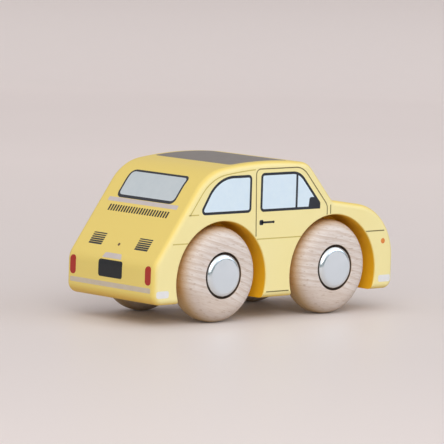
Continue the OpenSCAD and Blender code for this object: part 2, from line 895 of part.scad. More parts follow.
module door_glass(side) {
    color("#d4e8f3")
        printed_side(side)
            difference() {
                polygon(outline(DOOR_WINDOW, -frame_width));
                divider();
                polygon(outline(MIRROR));
            }
}

module door_frame(side) {
    color("#1f2733")
        printed_side(side) {
            difference() {
                polygon(outline(DOOR_WINDOW));
                polygon(outline(DOOR_WINDOW, -frame_width));
            }
            intersection() {
                polygon(outline(DOOR_WINDOW, -frame_width));
                divider();
            }
        }
}

module mirror_print(side) {
    color("#1f2733")
        printed_side(side)
            intersection() {
                polygon(outline(DOOR_WINDOW, -frame_width));
                polygon(outline(MIRROR));
            }
}

module handle(side) {
    rear = door_rear + handle_inset;
    color("#222226")
        printed_side(side) {
            translate([rear + handle_boss, handle_height])
                circle(handle_boss);
            translate([rear + handle_boss, handle_height - handle_bar / 2])
                square([handle_length - handle_boss, handle_bar]);
        }
}

module door_line(side) {
    foot_z = arch_rim(front_axle_x - door_front);
    turn_z = screen_foot[1] + (screen_foot[0] - door_screen_inset - door_front) * tan(screen_angle);
    foot_radius = min(door_foot_round, (turn_z - foot_z) / tan(45 - screen_angle / 2));
    path = [
        [door_rear, arch_rim(door_rear_run)],
        [door_rear - door_lean, door_head, door_head_round],
        [on_screen(door_head) - door_screen_inset, door_head, door_sweep],
        [door_front, turn_z, foot_radius],
        [door_front, foot_z],
    ];
    color("#77683c")
        printed_side(side)
            polygon(stroke(path, line_width));
}

// Gutter along the outline, from the belt at the tail up to the door
module gutter() {
    low = outline(BODY_CORNERS, -edge_round - gutter_gap - line_width);
    high = outline(BODY_CORNERS, -edge_round - gutter_gap);
    intersection() {
        difference() {
            polygon(high);
            polygon(low);
        }
        translate([tail_x, belt_height])
            square([door_rear - door_lean - line_width / 2 - tail_x, roof_height - belt_height]);
    }
}

module panel_lines(side) {
    inset = edge_round + waist_gap;
    wing_x = door_front + wing_run;
    wing_waist = waist_height + waist_step;
    waist_run = arch_run(waist_height);
    lines = [
        [[on_back(waist_height) + inset, waist_height], [rear_axle_x - waist_run, waist_height]],
        [[rear_axle_x + waist_run, waist_height], [front_axle_x - waist_run, waist_height]],
        [[front_axle_x + arch_run(wing_waist), wing_waist], [on_nose(wing_waist) - inset, wing_waist]],
        [[on_back(belt_height) + inset, belt_height], quarter_foot],
        [[wing_x, bonnet_height - wing_drop], [wing_x, arch_rim(front_axle_x - wing_x)]],
        [
            [rear_axle_x + arch_run(sill_height) + sill_gap, sill_height],
            [front_axle_x - arch_run(sill_height) - sill_gap, sill_height],
        ],
    ];
    color("#a8963f")
        printed_side(side) {
            gutter();
            for (line = lines)
                polygon(stroke(line, line_width));
        }
}

module bumper_ends(side) {
    low = ground_clearance + bumper_end_rise;
    high = low + bumper_end_width;
    inset = edge_round + bumper_end_gap;
    tail_end = tail_x + inset;
    nose_end = nose_x - inset;
    rear_length = rear_end_share * (tail_wood - inset);
    front_length = front_end_share * (nose_wood - inset);
    color("#dbdee3")
        printed_side(side)
            for (span = [[tail_end, tail_end + rear_length], [nose_end - front_length, nose_end]])
                polygon(outline(bar([span[0], low], [span[1], high])));
}

module indicator(side) {
    height = waist_height - indicator_drop;
    color("#db9c59")
        printed_side(side)
            translate([on_nose(height) - indicator_inset, height])
                circle(indicator_radius);
}

wood_body();
for (axle = AXLES) axle_rod(axle[1]);
for (axle = AXLES, side = SIDES)
    wheel(axle[1], side[1]);
for (axle = AXLES, side = SIDES)
    axle_cap(axle[1], side[1]);
roof_panel();
rear_window_glass();
rear_window_frame();
rear_strip();
vent_slots();
engine_louvres();
lid_lock();
plate_lamp();
rear_plate();
rear_bumper();
front_bumper();
windscreen_glass();
windscreen_frame();
for (side = SIDES) tail_lamp(side[1]);
for (side = SIDES) headlamp(side[1]);
for (side = SIDES) headlamp_ring(side[1]);
for (side = SIDES) quarter_glass(side[1]);
for (side = SIDES) quarter_frame(side[1]);
for (side = SIDES) door_glass(side[1]);
for (side = SIDES) door_frame(side[1]);
for (side = SIDES) mirror_print(side[1]);
for (side = SIDES) handle(side[1]);
for (side = SIDES) door_line(side[1]);
for (side = SIDES) panel_lines(side[1]);
for (side = SIDES) bumper_ends(side[1]);
for (side = SIDES) indicator(side[1]);
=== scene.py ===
import math

import bmesh
import bpy
from mathutils import Matrix, Vector
from mathutils.bvhtree import BVHTree


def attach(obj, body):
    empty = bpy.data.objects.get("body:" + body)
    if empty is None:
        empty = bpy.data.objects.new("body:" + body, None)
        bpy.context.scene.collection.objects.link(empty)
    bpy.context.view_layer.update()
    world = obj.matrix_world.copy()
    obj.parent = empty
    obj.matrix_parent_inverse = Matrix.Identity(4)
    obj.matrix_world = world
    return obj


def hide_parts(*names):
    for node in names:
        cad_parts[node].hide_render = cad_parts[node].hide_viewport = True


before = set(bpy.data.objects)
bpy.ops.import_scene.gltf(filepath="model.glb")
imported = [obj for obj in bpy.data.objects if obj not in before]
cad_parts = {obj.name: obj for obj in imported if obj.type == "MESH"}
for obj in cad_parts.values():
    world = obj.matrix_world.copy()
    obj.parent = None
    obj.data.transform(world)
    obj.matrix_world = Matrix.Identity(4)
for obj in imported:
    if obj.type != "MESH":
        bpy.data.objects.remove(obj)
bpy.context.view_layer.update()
scene = bpy.context.scene
scene.view_settings.view_transform = "Standard"

mm = 0.001  # every size below is in millimetres, every mesh in metres
mergeGap = 0.001 * mm  # points nearer than this become one
sharpAngle = math.radians(35)  # flatter edges are shaded smooth
print("frame loaded")


# camera, fitted to the photograph's 444 x 444 pixels
cameraSet = {
    "place": (-1032.02, -1146.25, 193.18),
    "azimuth": -41.851,
    "elevation": 5.932,
    "roll": 1.720,
    "focalPixels": 4198.37,
    "imagePixels": 444,
    "sensor": 36.0,
    "shift": (-0.5, 0.5),  # half a pixel, because the photograph's places were read at pixel centres
    "clip": (0.05, 20),  # metres
}


def makeCamera(s):
    a, e, t = (math.radians(s[k]) for k in ("azimuth", "elevation", "roll"))
    back = Vector((math.sin(a) * math.cos(e), -math.cos(a) * math.cos(e), math.sin(e)))
    level = Vector((math.cos(a), math.sin(a), 0))
    rise = back.cross(level)
    right = level * math.cos(t) + rise * math.sin(t)
    up = rise * math.cos(t) - level * math.sin(t)
    data = bpy.data.cameras.new("camera")
    data.sensor_fit = "HORIZONTAL"
    data.sensor_width = s["sensor"]
    data.lens = s["focalPixels"] / s["imagePixels"] * s["sensor"]
    data.shift_x, data.shift_y = (part / s["imagePixels"] for part in s["shift"])
    data.clip_start, data.clip_end = s["clip"]
    camera = bpy.data.objects.new("camera", data)
    turn = Matrix((right, up, back)).transposed().to_4x4()
    camera.matrix_world = Matrix.Translation(Vector(s["place"]) * mm) @ turn
    scene.collection.objects.link(camera)
    scene.camera = camera


makeCamera(cameraSet)
print("camera placed")


def hexColour(text):  # sRGB hex to linear
    parts = [int(text[i:i + 2], 16) / 255 for i in (1, 3, 5)]
    return [c / 12.92 if c <= 0.04045 else ((c + 0.055) / 1.055) ** 2.4 for c in parts] + [1]


# adds a node, sets its sockets and attributes, and links what feeds it
def addNode(tree, kind, settings=None, links=None):
    node = tree.nodes.new("ShaderNode" + kind)
    for key, value in (settings or {}).items():
        if isinstance(key, int) or key in node.inputs:
            node.inputs[key].default_value = value
        else:
            setattr(node, key, value)
    for key, (source, output) in (links or {}).items():
        tree.links.new(source.outputs[output], node.inputs[key])
    return node


def newMaterial(name):
    material = bpy.data.materials.new(name)
    material.use_nodes = True
    tree = material.node_tree
    return material, tree, tree.nodes["Principled BSDF"]


def perMetre(size):  # texture scale for a feature of this many millimetres
    return 1 / (size * mm)


# satin nitrocellulose paint sprayed on a sanded beech block: soft broad highlight, a little grain telegraphing
# through; painted light: the flat sides are coloured paler and the sawn outline deeper yellow, as light falls
# on them, and faces turned downwards are coloured amber as painted shade
paintSet = {
    "plank": "#f5e9a9", "end": "#f3da79", "under": "#f6bf38",
    "plankFacing": {"From Min": 0.6, "From Max": 1},
    "underFacing": {"From Min": -0.1, "From Max": -0.8, "To Max": 0.7},
    "cloud": 22, "cloudTint": {"From Min": 0.35, "From Max": 0.7, "To Max": 0.12},
    "grain": 0.9, "grainStretch": (0.06, 1, 1), "grainBump": {"Strength": 0.25, "Distance": 0.03 * mm},
    "peel": 0.7, "peelBump": {"Strength": 0.2, "Distance": 0.02 * mm},
    "gloss": {"To Min": 0.37, "To Max": 0.47},
}
# the same paint, coloured deep amber on the bored walls of the wheel pockets as painted shade
pocketSet = {**paintSet, "plank": "#fcc022", "end": "#fcc022", "gloss": {"To Min": 0.45, "To Max": 0.55}}


def paintedBeech(name, s):
    material, tree, shader = newMaterial(name)
    coords = addNode(tree, "TexCoord")
    facing = addNode(tree, "SeparateXYZ", {}, {"Vector": (coords, "Normal")})
    flat = addNode(tree, "Math", {"operation": "ABSOLUTE"}, {0: (facing, "Y")})
    plank = addNode(tree, "MapRange", s["plankFacing"], {"Value": (flat, "Value")})
    along = addNode(tree, "Mapping", {"Scale": s["grainStretch"]}, {"Vector": (coords, "Object")})
    grain = addNode(tree, "TexNoise", {"Scale": perMetre(s["grain"]), "Detail": 4, "Roughness": 0.6},
                    {"Vector": (along, "Vector")})
    cloud = addNode(tree, "TexNoise", {"Scale": perMetre(s["cloud"]), "Detail": 3}, {"Vector": (coords, "Object")})
    peel = addNode(tree, "TexNoise", {"Scale": perMetre(s["peel"]), "Detail": 2}, {"Vector": (coords, "Object")})
    tint = addNode(tree, "MapRange", s["cloudTint"], {"Value": (cloud, "Fac")})
    toned = addNode(tree, "Mix", {"data_type": "RGBA", 6: hexColour(s["end"]), 7: hexColour(s["plank"])},
                      {0: (plank, "Result")})
    clouded = addNode(tree, "Mix", {"data_type": "RGBA", 7: hexColour(s["end"])},
                      {0: (tint, "Result"), 6: (toned, 2)})
    # painted shade: faces of the outline that turn downwards are mixed toward the amber colour
    down = addNode(tree, "MapRange", s["underFacing"], {"Value": (facing, "Z")})
    edge = addNode(tree, "Math", {"operation": "SUBTRACT", 0: 1}, {1: (flat, "Value")})
    underShadeShare = addNode(tree, "Math", {"operation": "MULTIPLY"}, {0: (down, "Result"), 1: (edge, "Value")})
    colour = addNode(tree, "Mix", {"data_type": "RGBA", 7: hexColour(s["under"])},
                     {0: (underShadeShare, "Value"), 6: (clouded, 2)})
    gloss = addNode(tree, "MapRange", s["gloss"], {"Value": (peel, "Fac")})
    low = addNode(tree, "Bump", s["grainBump"], {"Height": (grain, "Fac")})
    fine = addNode(tree, "Bump", s["peelBump"], {"Height": (peel, "Fac"), "Normal": (low, "Normal")})
    tree.links.new(colour.outputs[2], shader.inputs["Base Color"])
    tree.links.new(gloss.outputs["Result"], shader.inputs["Roughness"])
    tree.links.new(fine.outputs["Normal"], shader.inputs["Normal"])
    return material


# turned beech under thin matt lacquer: pinkish beige, fine straight grain, curved year rings, short darker flecks
# painted shade: the tread and rounded edges, turned away from the flat face, are coloured darker amber
beechSet = {
    "pale": "#e2d9d4", "tan": "#bda48f", "fleck": "#a5866b", "tread": "#b5904f",
    "pith": (12, 0, 140),  # the middle of the year rings, outside the wheel
    "ringStep": 2.4, "ringTint": {"From Min": 0.5, "From Max": 1, "To Max": 0.5},
    "grain": 0.45, "grainStretch": (0.07, 0.25, 1), "grainBump": {"Strength": 0.3, "Distance": 0.04 * mm},
    "grainTint": {"From Min": 0.4, "From Max": 0.75, "To Max": 0.5},
    "fleckWide": 0.5, "fleckStretch": (0.2, 0.5, 1),
    "fleckTint": {"From Min": 0.62, "From Max": 0.75, "To Max": 0.5},
    "wander": 3, "streak": {"From Min": -5.5 * mm, "From Max": -8 * mm, "To Max": 0.4},
    "treadFacing": {"From Min": 0.8, "From Max": 0.25, "To Max": 0.75},
    "gloss": {"To Min": 0.47, "To Max": 0.63},
}
# the cap's recess, coloured dark brown as painted shade, where it mostly lies in shadow
recessShadeSet = {**beechSet, "pale": "#6f5c4f", "tan": "#5d4b3f", "fleck": "#4a392d", "tread": "#54433a"}
waveLength = 0.314  # a wave texture of scale 1 repeats over this length


def turnedBeech(name, centre, turn, s):
    material, tree, shader = newMaterial(name)
    coords = addNode(tree, "TexCoord")
    local = addNode(tree, "Mapping", {"vector_type": "TEXTURE", "Location": centre,
                                      "Rotation": (0, math.radians(turn), 0)}, {"Vector": (coords, "Object")})
    pith = addNode(tree, "Mapping", {"Location": Vector(s["pith"]) * mm}, {"Vector": (local, "Vector")})
    rings = addNode(tree, "TexWave", {"wave_type": "RINGS", "rings_direction": "Y", "wave_profile": "SAW",
                                      "Scale": waveLength * perMetre(s["ringStep"]), "Distortion": 2.2, "Detail": 2,
                                      "Detail Scale": 0.6}, {"Vector": (pith, "Vector")})
    along = addNode(tree, "Mapping", {"Scale": s["grainStretch"]}, {"Vector": (local, "Vector")})
    grain = addNode(tree, "TexNoise", {"Scale": perMetre(s["grain"]), "Detail": 3, "Roughness": 0.65},
                    {"Vector": (along, "Vector")})
    short = addNode(tree, "Mapping", {"Scale": s["fleckStretch"]}, {"Vector": (local, "Vector")})
    fleck = addNode(tree, "TexNoise", {"Scale": perMetre(s["fleckWide"]), "Detail": 1}, {"Vector": (short, "Vector")})
    ringTint = addNode(tree, "MapRange", s["ringTint"], {"Value": (rings, "Fac")})
    grainTint = addNode(tree, "MapRange", s["grainTint"], {"Value": (grain, "Fac")})
    fleckTint = addNode(tree, "MapRange", s["fleckTint"], {"Value": (fleck, "Fac")})
    split = addNode(tree, "SeparateXYZ", {}, {"Vector": (local, "Vector")})
    wander = addNode(tree, "Math", {"operation": "MULTIPLY_ADD", 1: s["wander"] * mm},
                     {0: (grain, "Fac"), 2: (split, "Z")})
    streak = addNode(tree, "MapRange", s["streak"], {"Value": (wander, "Value")})
    late = addNode(tree, "Math", {"operation": "MAXIMUM"}, {0: (ringTint, "Result"), 1: (streak, "Result")})
    ringed = addNode(tree, "Mix", {"data_type": "RGBA", 6: hexColour(s["pale"]), 7: hexColour(s["tan"])},
                     {0: (late, "Value")})
    toned = addNode(tree, "Mix", {"data_type": "RGBA", 7: hexColour(s["tan"])},
                      {0: (grainTint, "Result"), 6: (ringed, 2)})
    flecked = addNode(tree, "Mix", {"data_type": "RGBA", 7: hexColour(s["fleck"])},
                      {0: (fleckTint, "Result"), 6: (toned, 2)})
    # painted shade: where the surface turns away from the side, the wood is mixed toward the darker tread colour
    facing = addNode(tree, "SeparateXYZ", {}, {"Vector": (coords, "Normal")})
    flat = addNode(tree, "Math", {"operation": "ABSOLUTE"}, {0: (facing, "Y")})
    tread = addNode(tree, "MapRange", s["treadFacing"], {"Value": (flat, "Value")})
    treadShaded = addNode(tree, "Mix", {"data_type": "RGBA", 7: hexColour(s["tread"])},
                    {0: (tread, "Result"), 6: (flecked, 2)})
    bump = addNode(tree, "Bump", s["grainBump"], {"Height": (grain, "Fac")})
    gloss = addNode(tree, "MapRange", s["gloss"], {"Value": (grain, "Fac")})
    tree.links.new(treadShaded.outputs[2], shader.inputs["Base Color"])
    tree.links.new(gloss.outputs["Result"], shader.inputs["Roughness"])
    tree.links.new(bump.outputs["Normal"], shader.inputs["Normal"])
    return material


# bright zinc plate on pressed or drawn steel: clean grey metal with a slight cloud in its gloss
steelSet = {
    "pressedZincSteel": {"tones": ("#e0e7ec", "#d8e0e6"), "cloud": 6, "gloss": {"To Min": 0.14, "To Max": 0.26}},
    "drawnZincSteel": {"tones": ("#b9bdc0", "#aeb3b7"), "cloud": 3, "gloss": {"To Min": 0.24, "To Max": 0.36}},
}


def zincSteel(name, s):
    material, tree, shader = newMaterial(name)
    coords = addNode(tree, "TexCoord")
    haze = addNode(tree, "TexNoise", {"Scale": perMetre(s["cloud"]), "Detail": 4}, {"Vector": (coords, "Object")})
    gloss = addNode(tree, "MapRange", s["gloss"], {"Value": (haze, "Fac")})
    tone = addNode(tree, "Mix", {"data_type": "RGBA", 6: hexColour(s["tones"][0]), 7: hexColour(s["tones"][1])},
                   {0: (haze, "Fac")})
    shader.inputs["Metallic"].default_value = 1
    tree.links.new(tone.outputs[2], shader.inputs["Base Color"])
    tree.links.new(gloss.outputs["Result"], shader.inputs["Roughness"])
    return material


# screen printed ink, a thin even film with a slight mottle where it took unevenly on the paint
inkFinish = {"cloud": 3.5, "take": {"From Min": 0.3, "From Max": 0.7}, "glossSpread": 0.06}


def printedInk(name, colour, mottle, roughness):
    material, tree, shader = newMaterial(name)
    coords = addNode(tree, "TexCoord")
    cloud = addNode(tree, "TexNoise", {"Scale": perMetre(inkFinish["cloud"]), "Detail": 4, "Roughness": 0.65},
                    {"Vector": (coords, "Object")})
    take = addNode(tree, "MapRange", inkFinish["take"], {"Value": (cloud, "Fac")})
    tone = addNode(tree, "Mix", {"data_type": "RGBA", 6: hexColour(colour), 7: hexColour(mottle)},
                   {0: (take, "Result")})
    spread = inkFinish["glossSpread"]
    gloss = addNode(tree, "MapRange", {"To Min": roughness - spread, "To Max": roughness + spread},
                    {"Value": (cloud, "Fac")})
    tree.links.new(tone.outputs[2], shader.inputs["Base Color"])
    tree.links.new(gloss.outputs["Result"], shader.inputs["Roughness"])
    return material


inkSet = {  # colour, mottle, roughness
    "roof": ("#7b7774", "#878380", 0.5),
    "sideGlass": ("#d6eafa", "#dceefb", 0.35),
    "rearGlass": ("#c6d1d9", "#cdd7de", 0.35),
    "frame": ("#0f1622", "#18202e", 0.4),
    "plate": ("#0d0f13", "#16191e", 0.45),
    "vent": ("#17150f", "#211e17", 0.5),
    "silver": ("#cdc3c2", "#d4cbca", 0.35),
    "bumper": ("#d0c2ae", "#d6c9b7", 0.35),
    "white": ("#e2e3e6", "#e9eaec", 0.35),
    "red": ("#ae2416", "#b52c1d", 0.4),
    "amber": ("#de8233", "#e48f45", 0.4),
    "doorLine": ("#6d6137", "#786b3e", 0.45),
    "panelLine": ("#c6b562", "#cebd6a", 0.45),
    "wingLine": ("#6f6535", "#79703c", 0.45),
    "lock": ("#5d4430", "#6b5038", 0.45),
}
inks = {key: printedInk(key + "Ink", *values) for key, values in inkSet.items()}
paint = paintedBeech("satinPaintOnBeech", paintSet)
pocketPaint = paintedBeech("pocketShadePaint", pocketSet)
capSteel, axleSteel = (zincSteel(name, s) for name, s in steelSet.items())
print("materials ready")


arcSet = {"fewest": 3, "degrees": 6}  # least steps of a round corner, most that one step turns


# a vertex swung round each corner of a flat outline; corners are (u, v, radius), drawn anticlockwise
def roundedChain(bm, corners, base, across, up, closed=True, stepLength=0.6):
    axis = across.cross(up)
    count = len(corners)
    chain = []
    for i, corner in enumerate(corners):
        here = Vector(corner[:2])
        radius = corner[2] if len(corner) > 2 else 0
        if radius == 0 or (not closed and i in (0, count - 1)):
            chain.append(bm.verts.new(base + (across * here.x + up * here.y) * mm))
            continue
        wayIn = (here - Vector(corners[i - 1][:2])).normalized()
        wayOut = (Vector(corners[(i + 1) % count][:2]) - here).normalized()
        turn = math.atan2(wayIn.x * wayOut.y - wayIn.y * wayOut.x, wayIn.dot(wayOut))
        side = 1 if turn > 0 else -1
        start = here - wayIn * radius * math.tan(abs(turn) / 2)
        centre = start + Vector((-wayIn.y, wayIn.x)) * radius * side
        steps = max(arcSet["fewest"], math.ceil(radius * abs(turn) / stepLength),
                    math.ceil(abs(math.degrees(turn)) / arcSet["degrees"]))
        first = bm.verts.new(base + (across * start.x + up * start.y) * mm)
        before = len(bm.verts)
        bmesh.ops.spin(bm, geom=[first], cent=base + (across * centre.x + up * centre.y) * mm, axis=axis,
                       angle=turn, steps=steps, use_merge=False)
        bm.verts.ensure_lookup_table()
        chain += [first] + [bm.verts[k] for k in range(before, len(bm.verts))]
    ends = zip(chain, chain[1:] + chain[:1]) if closed else zip(chain, chain[1:])
    for near, far in ends:
        if not bm.edges.get((near, far)):
            bm.edges.new((near, far))
    return chain


def vertsOf(geom):
    return [g for g in geom if isinstance(g, bmesh.types.BMVert)]


def insetFace(bm, face, width):  # gives the ring that an inset leaves round the face
    return bmesh.ops.inset_region(bm, faces=[face], thickness=width * mm, use_even_offset=True,
                                  use_boundary=True)["faces"]


# a finished bmesh becomes an object that rides on its body and stands for its CAD node
def addPiece(bm, name, material, body, node=None):
    bmesh.ops.remove_doubles(bm, verts=bm.verts[:], dist=mergeGap)
    bmesh.ops.recalc_face_normals(bm, faces=bm.faces[:])
    for face in bm.faces:
        face.smooth = True
    mesh = bpy.data.meshes.new(name)
    bm.to_mesh(mesh)
    bm.free()
    mesh.set_sharp_from_angle(angle=sharpAngle)
    mesh.materials.append(material)
    piece = bpy.data.objects.new(name, mesh)
    scene.collection.objects.link(piece)
    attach(piece, body)
    if node:
        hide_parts(node)
    return piece


axisX, axisY, axisZ = Vector((1, 0, 0)), Vector((0, 1, 0)), Vector((0, 0, 1))
origin = Vector((0, 0, 0))

# body block: one outline sawn from a plank, its edges routed, wheel pockets bored into both sides
bodySet = {
    "tail": -59, "nose": 59, "half": 24.7, "foot": 8, "roof": 58.95,
    "tailBend": (-59, 22.4), "roofRear": (-34.6, 55.35), "crown": (-6.4705, 58.95),
    "screenTop": (14.75, 56.9), "screenFoot": (27.5, 42.3877), "noseTop": (59, 37.6877),
    "rounds": {"tailFoot": 4, "noseFoot": 3.5, "noseTop": 20.6, "screenFoot": 2.5, "screenTop": 7.8, "crown": 160,
               "roofRear": 19.5, "tailBend": 7.5},
    "edgeRound": 2.2, "edgeSteps": 8,
    "axles": {"rear": -27, "front": 28}, "axleHigh": 17.5, "boreRadius": 2.07, "boreSteps": 64, "boreReach": 1,
    "archRadius": 21.5, "archHigh": 15.6, "archSteps": 160, "pocketWall": 12.5, "pocketEase": 0.1,
    "rimEase": 0.5, "rimSteps": 6, "cutterReach": 3,
}
b = bodySet
bodyCorners = [(b["tail"], b["foot"], b["rounds"]["tailFoot"]), (b["nose"], b["foot"], b["rounds"]["noseFoot"])]
bodyCorners += [(*b[key], b["rounds"][key])
                for key in ("noseTop", "screenFoot", "screenTop", "crown", "roofRear", "tailBend")]
outwards = {"left": 1, "right": -1}


def bodyBlock():
    bm = bmesh.new()
    chain = roundedChain(bm, bodyCorners, -axisY * b["half"] * mm, axisX, axisZ)
    bmesh.ops.remove_doubles(bm, verts=chain, dist=mergeGap)
    face = bmesh.ops.contextual_create(bm, geom=bm.edges[:])["faces"][0]
    raised = bmesh.ops.extrude_face_region(bm, geom=[face], use_keep_orig=True)["geom"]
    bmesh.ops.translate(bm, verts=vertsOf(raised), vec=axisY * 2 * b["half"] * mm)
    bmesh.ops.recalc_face_normals(bm, faces=bm.faces[:])
    rims = [e for e in bm.edges if abs(e.verts[0].co.y - e.verts[1].co.y) < mergeGap]
    bmesh.ops.bevel(bm, geom=rims, offset=b["edgeRound"] * mm, offset_type="OFFSET", affect="EDGES",
                    segments=b["edgeSteps"], profile=0.5, clamp_overlap=False, material=-1)
    return bm


# cutter for one wheel pocket, flared at its mouth so that the rim comes out eased
def pocketCutter(axleX, way):
    bm = bmesh.new()
    r, ease, half = b["archRadius"], b["rimEase"], b["half"]
    corners = [(0, b["pocketWall"]), (r, b["pocketWall"]), (r, half - ease)]
    centre = Vector((axleX, 0, b["archHigh"])) * mm
    arm = roundedChain(bm, corners, centre, axisX, axisY * way, closed=False)[-1]
    bmesh.ops.spin(bm, geom=[arm], cent=centre + (axisX * (r + ease) + axisY * way * (half - ease)) * mm,
                   axis=axisZ, angle=-way * math.pi / 2, steps=b["rimSteps"], use_merge=False)
    bm.verts.ensure_lookup_table()
    tip = bm.verts[len(bm.verts) - 1]
    out = bmesh.ops.extrude_vert_indiv(bm, verts=[tip])["verts"]
    bmesh.ops.translate(bm, verts=out, vec=axisY * way * b["cutterReach"] * mm)
    hub = bmesh.ops.extrude_vert_indiv(bm, verts=out)["verts"]
    bmesh.ops.translate(bm, verts=hub, vec=Vector((centre.x - hub[0].co.x, 0, 0)))
    bmesh.ops.spin(bm, geom=bm.verts[:] + bm.edges[:], cent=centre, axis=axisY, angle=2 * math.pi,
                   steps=b["archSteps"], use_merge=True)
    bmesh.ops.remove_doubles(bm, verts=bm.verts[:], dist=mergeGap)
    bmesh.ops.recalc_face_normals(bm, faces=bm.faces[:])
    return bm


def boreCutter(axleX):
    bm = bmesh.new()
    place = Matrix.Translation(Vector((axleX, 0, b["axleHigh"])) * mm) @ Matrix.Rotation(math.pi / 2, 4, "X")
    bmesh.ops.create_cone(bm, cap_ends=True, segments=b["boreSteps"], radius1=b["boreRadius"] * mm,
                          radius2=b["boreRadius"] * mm, depth=2 * (b["pocketWall"] + b["boreReach"]) * mm,
                          matrix=place)
    return bm


def meshObject(bm, name):
    mesh = bpy.data.meshes.new(name)
    bm.to_mesh(mesh)
    bm.free()
    made = bpy.data.objects.new(name, mesh)
    scene.collection.objects.link(made)
    return made


def cutBody(block):
    cutters = [pocketCutter(x, way) for x in b["axles"].values() for way in outwards.values()]
    cutters += [boreCutter(x) for x in b["axles"].values()]
    for cutter in cutters:
        tool = meshObject(cutter, "cutter")
        cut = block.modifiers.new("cut", "BOOLEAN")
        cut.operation, cut.solver, cut.object = "DIFFERENCE", "EXACT", tool
        result = bpy.data.meshes.new_from_object(block.evaluated_get(bpy.context.evaluated_depsgraph_get()))
        block.modifiers.clear()
        block.data = result
        bpy.data.objects.remove(tool)
    bm = bmesh.new()
    bm.from_mesh(block.data)
    bpy.data.objects.remove(block)
    return bm


blockMesh = bodyBlock()
skin = BVHTree.FromBMesh(blockMesh)  # the uncut skin that the print is laid on
bodyPiece = addPiece(cutBody(meshObject(blockMesh, "block")), "carBlock", paint, "car_body",
                     "wood_body")
weigh = bodyPiece.modifiers.new("flatSides", "WEIGHTED_NORMAL")  # keeps the sawn sides flat beside the routed edges
weigh.keep_sharp = True
# painted shade: the faces inside the wheel pockets take the deep amber paint
bodyPiece.data.materials.append(pocketPaint)
for face in bodyPiece.data.polygons:
    x, y, z = face.center / mm
    deep = b["pocketWall"] - b["pocketEase"] < abs(y) < b["half"] - b["rimEase"]
    away = min(math.hypot(x - axleX, z - b["archHigh"]) for axleX in b["axles"].values())
    if deep and away < b["archRadius"] + b["pocketEase"]:
        face.material_index = 1
print("body made", len(bodyPiece.data.polygons), "faces")


# a turned profile's corners are (distance from the axle, distance from the car's middle, radius)
# wheels, turned: rounded outer edge, smaller inner one, a recess for the cap
wheelSet = {
    "profile": [(2.05, 13.1), (17.5, 13.1, 5.5), (17.5, 25.8, 5.8), (8.5, 25.8, 0.3), (8.5, 23.7), (2.05, 23.7)],
    "steps": 128, "stepLength": 0.5, "recess": {"radius": 8.52, "from": 20, "to": 25.55}, "grainCentre": 19,
    "grainTurn": {"rear_right": 15, "front_right": 8, "rear_left": 40, "front_left": -75},
}
# caps, pressed: flat face, round shoulder, straight skirt, a collar inside that grips the axle
capSet = {
    "profile": [(0, 26.65), (7.95, 26.65, 2), (7.95, 24), (7.35, 24), (7.35, 26.05, 1.4), (3.2, 26.05), (3.2, 24),
                (1.98, 24), (1.98, 26.05), (0, 26.05)],
    "steps": 96, "stepLength": 0.15,
}


def turnedPiece(s, axleX, way, closed):
    bm = bmesh.new()
    centre = Vector((axleX, 0, b["axleHigh"])) * mm
    roundedChain(bm, s["profile"], centre, axisX, axisY * way, closed=closed, stepLength=s["stepLength"])
    bmesh.ops.remove_doubles(bm, verts=bm.verts[:], dist=mergeGap)
    bmesh.ops.spin(bm, geom=bm.verts[:] + bm.edges[:], cent=centre, axis=axisY, angle=2 * math.pi,
                   steps=s["steps"], use_merge=True)
    return bm


recessShadeBeech = turnedBeech("recessShadeBeech", origin, 0, recessShadeSet)
for end, axleX in b["axles"].items():
    for side, way in outwards.items():
        corner = end + "_" + side
        wood = turnedBeech("turnedBeech_" + corner,
                           Vector((axleX, way * wheelSet["grainCentre"], b["axleHigh"])) * mm,
                           wheelSet["grainTurn"][corner], beechSet)
        wheel = addPiece(turnedPiece(wheelSet, axleX, way, True), corner + "Wheel", wood, "wheel_" + corner,
                         corner + "_wheel")
        wheel.data.materials.append(recessShadeBeech)
        # painted shade: the faces inside the cap's recess take the dark brown wood
        recess = wheelSet["recess"]
        for face in wheel.data.polygons:
            x, y, z = face.center / mm
            inside = math.hypot(x - axleX, z - b["axleHigh"]) < recess["radius"]
            if inside and recess["from"] < abs(y) < recess["to"]:
                face.material_index = 1
        addPiece(turnedPiece(capSet, axleX, way, False), corner + "Cap", capSteel, end + "_axle_set",
                 corner + "_cap")
    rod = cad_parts[end + "_axle"]
    rod.data.materials.clear()
    rod.data.materials.append(axleSteel)
print("wheels, caps and axles made")


# print: flat drawings laid on the skin along one direction, then given the thickness of a film
filmSet = {
    "lift": 0.03, "overLift": 0.04, "topLift": 0.045, "sunk": 0.03,  # a film over another stands a little prouder
    "strip": 0.3, "stepLength": 0.35, "lineStep": 0.5, "castFrom": 40,
    "dotRound": 0.999,  # just short of a full circle, so that no two points of a dot fall together
}


class Sheet:  # a drawing board: its origin, its two directions and the way it looks
    def __init__(self, place, across, up):
        self.place, self.across, self.up = place, across, up
        self.out = across.cross(up)


